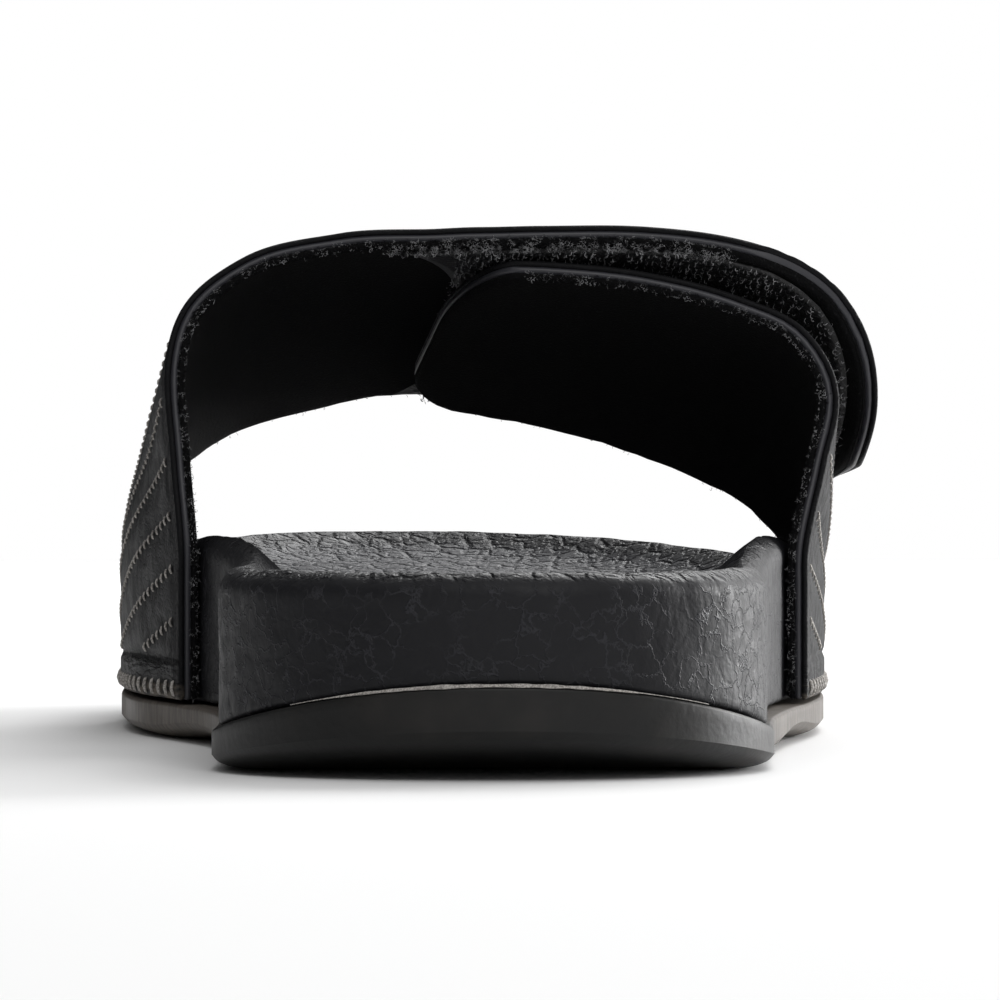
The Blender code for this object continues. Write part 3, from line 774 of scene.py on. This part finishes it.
def rough_cut(around, across):
    """How far the front edge, cut by hand, wanders along the foot: three sine waves of 3 to 12 mm."""
    wave = 0.5 * np.sin(97 * around) + 0.3 * np.sin(233 * around + 1) + 0.3 * np.sin(411 * around + 2)
    return CUT_WANDER * wave * ease(0.9, 1.0, across)


def under_along(around, across):
    """Share along the foot of a point of the under strap, which narrows away from its foot."""
    narrowing = 1 - ease(UNDER_NARROW_FULL, UNDER_NARROW_GONE, around)
    back, ahead = UNDER_REAR * narrowing, 1 - (1 - UNDER_FRONT) * narrowing
    return back + (ahead - back) * across + rough_cut(around, across)


def under_grid(step):
    """Shares round and along the foot over the under strap, with distances to its edges."""
    across = (rear_stations(step) / STRAP_WIDTH)[None, :]
    reach = STRAP_RUN * (1 - UNDER_END)
    way = (stations(reach, EDGE_RUN, step)[::-1] / reach)[:, None]
    around = under_end(across) + (1 - under_end(across)) * way
    rear, front = across * STRAP_WIDTH + 0 * around, (1 - across) * STRAP_WIDTH + 0 * around
    up, end = (1 - around) * STRAP_RUN, way * reach + 0 * around
    return around, under_along(around, across), up, rear, front, end


def under_spot(up, rear, off):
    """Points of the under strap: up from its foot, in from its rear edge and off the last."""
    around = 1 - up / STRAP_RUN
    along = under_along(around, rear / STRAP_WIDTH)
    return last(around, along) + last_normal(around, along) * off[..., None]


# Stitches stand below each channel, 2.3 mm apart, and bars 3.6 mm apart sew the strap's foot down
Stitch = namedtuple("Stitch", "rise run radius pitch")
CHANNEL_STITCH = Stitch(0.0014, 0.0010, 0.00020, 0.0023)
FOOT_STITCH = Stitch(0.0024, 0.0003, 0.00030, 0.0036)
FOOT_STITCH_UP = 0.0014
STITCH_DROP = 0.0009
PANEL_TO_STITCH = 0.0014
END_TO_STITCH = 0.005


def stitch_bars(spot, up, rear, stitch, off):
    """Stitches on a strap: each rises and runs from its middle, bows out and dives at both ends."""
    t = np.array([-1, -0.65, 0, 0.65, 1])[None, :]
    at_up, at_rear = up[:, None] + stitch.rise / 2 * t, rear[:, None] + stitch.run / 2 * t
    height = off(at_up, at_rear) + stitch.radius * (1.2 - 3.4 * t ** 4)
    return tubes(spot(at_up, at_rear, height), stitch.radius * (1 - 0.3 * t ** 2) + 0 * at_up, 5)


def leather_top(up, rear):
    """Height of the outer ply's surface off the last, away from the strap's other edges."""
    far = 0 * up + 0.02
    return OUTER_PLY.middle + OUTER_PLY.half + quilt(up, rear, far, far)


def channel_stitches(top):
    """Places of the stitches: lines a drop below the quilting channels, kept inside the panel."""
    found = []
    for number in range(1, 30):
        rear = np.arange(PANEL_EDGE + PANEL_TO_STITCH, STRAP_WIDTH - PANEL_EDGE - 0.001, CHANNEL_STITCH.pitch)
        up = PANEL_BOTTOM + number * CHANNEL_PITCH - CHANNEL_SLOPE * rear - STITCH_DROP
        inside = (up > PANEL_BOTTOM + 0.0012) & (up < top(rear) - END_TO_STITCH)
        found.append(np.stack([up, rear], -1)[inside])
    return np.concatenate(found).T


def fuzz(roots, way, length, radius, draw):
    """Bent fibres: each runs from its root along its way, bows to one side and thins out."""
    t = np.linspace(0, 1, 4)[None, :, None]
    way = way / np.linalg.norm(way, axis=1, keepdims=True)
    bow = draw.normal(scale=0.35, size=(len(roots), 1, 3)) * np.sin(math.pi * t)
    paths = roots[:, None] + (way[:, None] * t + bow) * length[:, None, None]
    return tubes(paths, radius * (1 - 0.4 * t[..., 0]) + np.zeros((len(roots), 1)), 3)


FUZZ_RADIUS = 0.000045


def edge_fuzz(spot, end, count, seed):
    """Fibres along the lining's raw edges, as far up as each edge goes: most of them at the rear."""
    draw = np.random.default_rng(seed)
    at_front = (np.arange(count) % 8 == 0)[:, None]
    up = draw.uniform(0.0, 0.99, (count, 1)) * np.where(at_front, end(1.0), end(0.0))
    height = draw.uniform(0.0000, 0.0014, (count, 1))
    inset = draw.uniform(0.0001, 0.0005, (count, 1))
    roots = spot(up, np.where(at_front, STRAP_WIDTH - inset, inset), height)[:, 0]
    way = draw.normal(size=(count, 3)) + np.where(at_front, 0.9, -0.9) * np.array([0.0, 1.0, 0.0])
    return fuzz(roots, way, draw.uniform(0.0002, 0.0006, count), FUZZ_RADIUS, draw)


leather, tree, shader, place = new_material("strap_leather")
height = add(tree, "SeparateXYZ", {"Vector": place}).outputs["Z"]
pebble = between(tree, cell_edge(tree, place, 1100.0), 0.0, 0.25)
crease_settings = {"Vector": place, "Scale": 260.0, "Detail": 5.0, "Distortion": 1.2}
crease = add(tree, "TexNoise", crease_settings).outputs["Fac"]
# Wrinkles lie across the strap's foot, 1 mm tall and 5 mm long
wrinkle_place = add(tree, "Mapping", {"Vector": place, "Scale": (200.0, 200.0, 1000.0)}).outputs[0]
wrinkle = add(tree, "TexNoise", {"Vector": wrinkle_place, "Scale": 1.0, "Detail": 3.0}).outputs["Fac"]
at_foot = between(tree, height, 0.0112, 0.0125, 1.0, 0.0)
relief = bumped(tree, times(tree, wrinkle, at_foot), 0.00060)
relief = bumped(tree, crease, 0.00022, relief)
tree.links.new(bumped(tree, pebble, 0.00003, relief), shader.inputs["Normal"])
# Dust lies on the lowest 2 mm of the strap, over the sole's ledge
low_down = between(tree, height, 0.0078, 0.0088, 1.0, 0.0)
dust = times(tree, low_down, between(tree, wrinkle, 0.40, 0.65, 0.0, 0.6))
tree.links.new(mixed(tree, dust, linear("#111113"), linear("#82796e")), shader.inputs["Base Color"])
tree.links.new(between(tree, crease, 0.3, 0.7, 0.48, 0.62), shader.inputs["Roughness"])
shader.inputs["Specular IOR Level"].default_value = 0.10

# Painted light: the folded ply is the strap leather painted paler and bluer, standing in for light on the
# rear edges, which lie in shade
folded, tree, shader, place = new_material("folded_leather_painted_lit")
grain = add(tree, "TexNoise", {"Vector": place, "Scale": 500.0, "Detail": 3.0}).outputs["Fac"]
tree.links.new(bumped(tree, grain, 0.00008), shader.inputs["Normal"])
shader.inputs["Base Color"].default_value = linear("#2e2e33")
shader.inputs["Roughness"].default_value = 0.45

lining, tree, shader, place = new_material("strap_lining")
nap = add(tree, "TexNoise", {"Vector": place, "Scale": 2600.0, "Detail": 3.0}).outputs["Fac"]
tree.links.new(bumped(tree, nap, 0.00025), shader.inputs["Normal"])
fleck = between(tree, nap, 0.58, 0.72)
tree.links.new(mixed(tree, fleck, linear("#070708"), linear("#1d1d1f")), shader.inputs["Base Color"])
shader.inputs["Roughness"].default_value = 0.95
shader.inputs["Specular IOR Level"].default_value = 0.15

# Grey thread, painted paler: a painted highlight for the light the stitches catch
thread_painted_lit = speckled("thread_painted_lit", "#7f7b77", "#b4b0ab")

# Fibres in near black and pale grey; the pale grey is partly the lint's own tone and partly a painted
# highlight on the specks that catch light
fibre_painted_lit, tree, shader, place = new_material("lining_fibre")
shade = add(tree, "TexNoise", {"Vector": place, "Scale": 700.0, "Detail": 1.0}).outputs["Fac"]
tint = mixed(tree, between(tree, shade, 0.4, 0.65), linear("#18181a"), linear("#a0a0a2"))
tree.links.new(tint, shader.inputs["Base Color"])
shader.inputs["Roughness"].default_value = 0.9
shader.inputs["Specular IOR Level"].default_value = 0.1


def strap_sheets(node, fine, coarse, lift_at, panel_end):
    """The leather, the folded ply and the lining of a strap, each a piece in place of its node."""
    around, along, up, rear, front, end = fine
    relief = quilt(up, rear, front, end + panel_end)
    sheet = strap_layer(node + "_leather", OUTER_PLY, *fine, lift_at(around, along), relief)
    piece(node + "_leather", sheet, leather, node)
    for name, layer, finish in (("_ply", INNER_PLY, folded), ("_lining", LINING, lining)):
        sheet = strap_layer(node + name, layer, *coarse, lift_at(coarse[0], coarse[1]))
        piece(node + name, sheet, finish, node)


def sew(node, spot, top):
    """The stitches of a strap as two pieces: those below its channels, and its foot's bars."""
    up, rear = channel_stitches(top)
    made = stitch_bars(spot, up, rear, CHANNEL_STITCH, leather_top)
    piece(node + "_thread", mesh_from(node + "_thread", *made), thread_painted_lit, node)
    rear = np.arange(0.003, STRAP_WIDTH - 0.002, FOOT_STITCH.pitch)
    made = stitch_bars(spot, FOOT_STITCH_UP + 0 * rear, rear, FOOT_STITCH, leather_top)
    piece(node + "_foot_thread", mesh_from(node + "_foot_thread", *made), thread_painted_lit, node)


# The panel runs on under the other strap, past the rounded end
strap_sheets("strap_under", under_grid(0.0008), under_grid(0.0020), lambda around, along: 0.0, PANEL_CORNER)
under_reach = STRAP_RUN * (1 - UNDER_END)
sew("strap_under", under_spot, lambda rear: under_reach - 0.008 + 0 * rear)
made = edge_fuzz(under_spot, lambda across: STRAP_RUN * (1 - under_end(across)), 2000, 11)
piece("strap_under_fuzz", mesh_from("strap_under_fuzz", *made), fibre_painted_lit, "strap_under")


# ---------------------------------------------------------------- top strap
# The strap from the inner side, built like the other one. It climbs over that strap's end, and its
# rounded free end, 145 mm up, stands up to 4.2 mm off on the outer side.
FREE_END_FLARE = 0.0042
FLARE_BEGIN = 0.50
FLARE_FULL = 0.76
FLARE_FALL = 0.76
FLARE_GONE = 0.88
FLARE_SHARE = 0.35
RISE_START = 0.30
RISE_END = 0.50
TOP_END = 0.822
TOP_END_SLANT = 0.02
TOP_FRONT_AT_END = 0.90
TOP_NARROW_BEGIN = 0.5
TOP_NARROW_FULL = 0.8
TOP_CORNERS = Corners(0.024, 0.032, 0.014, 0.020)


def stack_lift(around, along):
    """Height of the top strap off the last: it climbs over the other strap's end and the patch,
    and its rear corner stands off further out."""
    climb = (STRAP_THICKNESS + 2 * LAYER_GAP + PATCH_THICKNESS) * ease(RISE_START, RISE_END, around)
    out_and_back = ease(FLARE_BEGIN, FLARE_FULL, around) * (1 - ease(FLARE_FALL, FLARE_GONE, around))
    return climb + FREE_END_FLARE * out_and_back * (1 - ease(0.0, FLARE_SHARE, along))


def top_end(across):
    """Share round the foot at which the top strap ends."""
    return TOP_END - TOP_END_SLANT * across - corner(across, TOP_CORNERS) / STRAP_RUN


def top_along(around, across):
    """Share along the foot of a point of the top strap, which narrows towards its free end."""
    narrowing = (1 - TOP_FRONT_AT_END) * ease(TOP_NARROW_BEGIN, TOP_NARROW_FULL, around)
    return across * (1 - narrowing) + rough_cut(around, across)


def top_grid(step):
    """Shares round and along the foot over the top strap, with distances to its edges."""
    across = (rear_stations(step) / STRAP_WIDTH)[None, :]
    reach = STRAP_RUN * TOP_END
    way = (stations(reach, EDGE_RUN, step) / reach)[:, None]
    around = top_end(across) * way
    up, end = around * STRAP_RUN, (1 - way) * reach + 0 * around
    rear, front = across * STRAP_WIDTH + 0 * around, (1 - across) * STRAP_WIDTH + 0 * around
    return around, top_along(around, across), up, rear, front, end


def top_spot(up, rear, off):
    """Points of the top strap: up from its foot, in from its rear edge and off its underside."""
    around = up / STRAP_RUN
    along = top_along(around, rear / STRAP_WIDTH)
    return last(around, along) + last_normal(around, along) * (off + stack_lift(around, along))[..., None]


strap_sheets("strap_top", top_grid(0.0010), top_grid(0.0020), stack_lift, 0.0)
sew("strap_top", top_spot, lambda rear: STRAP_RUN * top_end(rear / STRAP_WIDTH))
made = edge_fuzz(top_spot, lambda across: STRAP_RUN * top_end(across), 3000, 12)
piece("strap_top_fuzz", mesh_from("strap_top_fuzz", *made), fibre_painted_lit, "strap_top")


# ---------------------------------------------------------------- hook patch
# A black hook patch under the top strap's free end, sewn on 0.9 mm in from its edges: a tape 0.4 mm
# thick, covered with nylon hooks 0.5 mm high, with lint caught in them and along the strap's rear edge.
PATCH_START = 0.585
PATCH_MARGIN = 0.0009
TAPE_THICKNESS = 0.0004
HOOK_PITCH = 0.0009
HOOK_MARGIN = 0.0008
HOOK_HEIGHT = 0.00050
HOOK_RADIUS = 0.00007
LINT_PITCH = 0.0013
LINT_MARGIN = 0.0006
LINT_RADIUS = 0.00004
EDGE_LINT_START = 0.42
EDGE_LINT_COUNT = 1800
EDGE_LINT_RADIUS = 0.00005


def patch_spots(pitch, margin, draw):
    """Scattered places over the patch: up from the strap's foot and in from its rear edge."""
    up = np.arange(PATCH_START * STRAP_RUN * TOP_END, STRAP_RUN, pitch)
    rear = np.arange(margin, STRAP_WIDTH - PATCH_MARGIN, pitch)
    up, rear = [grid.ravel() + draw.uniform(-0.3, 0.3, grid.size) * pitch for grid in np.meshgrid(up, rear)]
    inside = up < STRAP_RUN * top_end(rear / STRAP_WIDTH) - 2 * margin
    return up[inside, None], rear[inside, None]


tape, tree, shader, place = new_material("hook_tape")
weave = add(tree, "TexNoise", {"Vector": place, "Scale": 1800.0, "Detail": 2.0}).outputs["Fac"]
tree.links.new(bumped(tree, weave, 0.0002), shader.inputs["Normal"])
tint = mixed(tree, between(tree, weave, 0.5, 0.75), linear("#0c0c0d"), linear("#3c3c3e"))
tree.links.new(tint, shader.inputs["Base Color"])
shader.inputs["Roughness"].default_value = 0.55

around, along, up, rear, front, end = top_grid(0.0020)
rows = (up[:, up.shape[1] // 2] > PATCH_START * STRAP_RUN * TOP_END) & (end[:, 0] > PATCH_MARGIN)
columns = (rear[0] > PATCH_MARGIN) & (front[0] > PATCH_MARGIN)
up, rear = up[rows][:, columns], rear[rows][:, columns]
row, column = np.indices(up.shape)
last_row, last_column = up.shape[0] - 1, up.shape[1] - 1
border = np.minimum(np.minimum(row, column), np.minimum(last_row - row, last_column - column))
# The tape fills the gap under the lining, and its border is closed to an edge
half = (LAYER_GAP + TAPE_THICKNESS) / 2 * np.clip(border, 0, 1)
middle = -(LAYER_GAP + TAPE_THICKNESS) / 2
upper, lower = top_spot(up, rear, middle + half), top_spot(up, rear, middle - half)
tape_mesh = closed_sheet("hook_patch_tape", upper, lower)
piece("hook_patch_tape", tape_mesh, tape, "hook_patch")

draw = np.random.default_rng(21)
up, rear = patch_spots(HOOK_PITCH, HOOK_MARGIN, draw)
# Each hook stands off the tape and bends over to one side
stem = HOOK_HEIGHT * np.array([0.0, 0.7, 1.0, 0.75])[None, :]
bend = HOOK_HEIGHT * np.array([0.0, 0.08, 0.40, 0.75])[None, :]
turn = draw.uniform(0, 2 * math.pi, up.shape)
off = -LAYER_GAP - TAPE_THICKNESS - stem + 0 * up
paths = top_spot(up + bend * np.cos(turn), rear + bend * np.sin(turn), off)
made = tubes(paths, HOOK_RADIUS + 0 * paths[..., 0], 3)
piece("hook_patch_hooks", mesh_from("hook_patch_hooks", *made), fibre_painted_lit, "hook_patch")
up, rear = patch_spots(LINT_PITCH, LINT_MARGIN, draw)
roots = top_spot(up, rear, -LAYER_GAP - TAPE_THICKNESS + 0 * up)[:, 0]
made = fuzz(roots, draw.normal(size=roots.shape), draw.uniform(0.0004, 0.0011, len(roots)), LINT_RADIUS, draw)
piece("hook_patch_lint", mesh_from("hook_patch_lint", *made), fibre_painted_lit, "hook_patch")
up = draw.uniform(EDGE_LINT_START, 0.995 * top_end(0.0), (EDGE_LINT_COUNT, 1)) * STRAP_RUN
rear, off = draw.uniform(0.0002, 0.0012, up.shape), draw.uniform(-0.0009, 0.0012, up.shape)
roots = top_spot(up, rear, off)[:, 0]
way = draw.normal(size=roots.shape) + np.array([0.0, -0.6, 0.0])
made = fuzz(roots, way, draw.uniform(0.0003, 0.0008, len(roots)), EDGE_LINT_RADIUS, draw)
piece("hook_patch_edge_lint", mesh_from("hook_patch_edge_lint", *made), fibre_painted_lit, "hook_patch")


# ---------------------------------------------------------------- floor, light and camera
# A plain white floor, a soft light from above and the right, and a long lens from behind.
bpy.ops.mesh.primitive_plane_add(size=2.0)
floor = bpy.context.object
floor.name = "floor"
white, tree, shader, place = new_material("floor_white")
shader.inputs["Base Color"].default_value = linear("#f2f2f2")
shader.inputs["Roughness"].default_value = 0.9
floor.data.materials.append(white)


def aimed(place, aim):
    """Turn that points an object at a place towards a point: its -Z along the way, +Y up."""
    return (Vector(aim) - Vector(place)).to_track_quat("-Z", "Y").to_euler()


def area_light(name, place, aim, size, power):
    """Soft square light at a place, turned to a point."""
    light = bpy.data.lights.new(name, "AREA")
    light.size = size
    light.energy = power
    made = bpy.data.objects.new(name, light)
    bpy.context.scene.collection.objects.link(made)
    made.location = place
    made.rotation_euler = aimed(place, aim)


SHOE_MIDDLE = (0.0, 0.007, 0.0356)
area_light("key_right", (1.45, 0.90, 0.30), SHOE_MIDDLE, 0.8, 36.0)
area_light("front_above", (0.2, -1.4, 1.3), SHOE_MIDDLE, 0.8, 8.0)
area_light("top", (0.6, 1.5, 1.2), SHOE_MIDDLE, 1.1, 25.0)
sun = bpy.data.lights.new("sky_panel", "SUN")
sun.energy = 0.35
sun.angle = math.radians(70)
sky_panel = bpy.data.objects.new("sky_panel", sun)
bpy.context.scene.collection.objects.link(sky_panel)
sky_panel.rotation_euler = aimed((0.5, 0.9, 2.2), (0.0, 0.0, 0.0))

# The room is bright above and on the right, dim on the left and behind the camera
world = bpy.data.worlds.new("studio")
bpy.context.scene.world = world
world.use_nodes = True
tree = world.node_tree
way = add(tree, "SeparateXYZ", {"Vector": add(tree, "TexCoord").outputs["Generated"]})
right = between(tree, way.outputs["X"], 0.0, 0.95, 0.04, 0.5)
above = between(tree, way.outputs["Z"], 0.35, 1.0, 0.0, 0.45)
strength = add(tree, "Math", {0: right, 1: above}, operation="ADD").outputs[0]
front = between(tree, way.outputs["Y"], -1.0, -0.3, 0.30, 0.0)
front = times(tree, front, between(tree, way.outputs["Z"], 0.0, 0.1))
strength = add(tree, "Math", {0: strength, 1: front}, operation="ADD").outputs[0]
shown = add(tree, "Background", {"Color": (1.0, 1.0, 1.0, 1.0), "Strength": 1.0})
lit = add(tree, "Background", {"Color": (1.0, 1.0, 1.0, 1.0), "Strength": strength})
seen = add(tree, "LightPath").outputs["Is Camera Ray"]
both = add(tree, "MixShader", {0: seen, 1: lit.outputs[0], 2: shown.outputs[0]})
tree.links.new(both.outputs[0], tree.nodes["World Output"].inputs["Surface"])

camera_data = bpy.data.cameras.new("camera")
camera_data.lens = 395.0
camera_data.clip_end = 100.0
camera = bpy.data.objects.new("camera", camera_data)
bpy.context.scene.collection.objects.link(camera)
camera.location = (-0.0586, -1.643, 0.070)
camera.rotation_euler = aimed(camera.location, SHOE_MIDDLE)
bpy.context.scene.camera = camera
bpy.context.scene.view_settings.view_transform = "Standard"
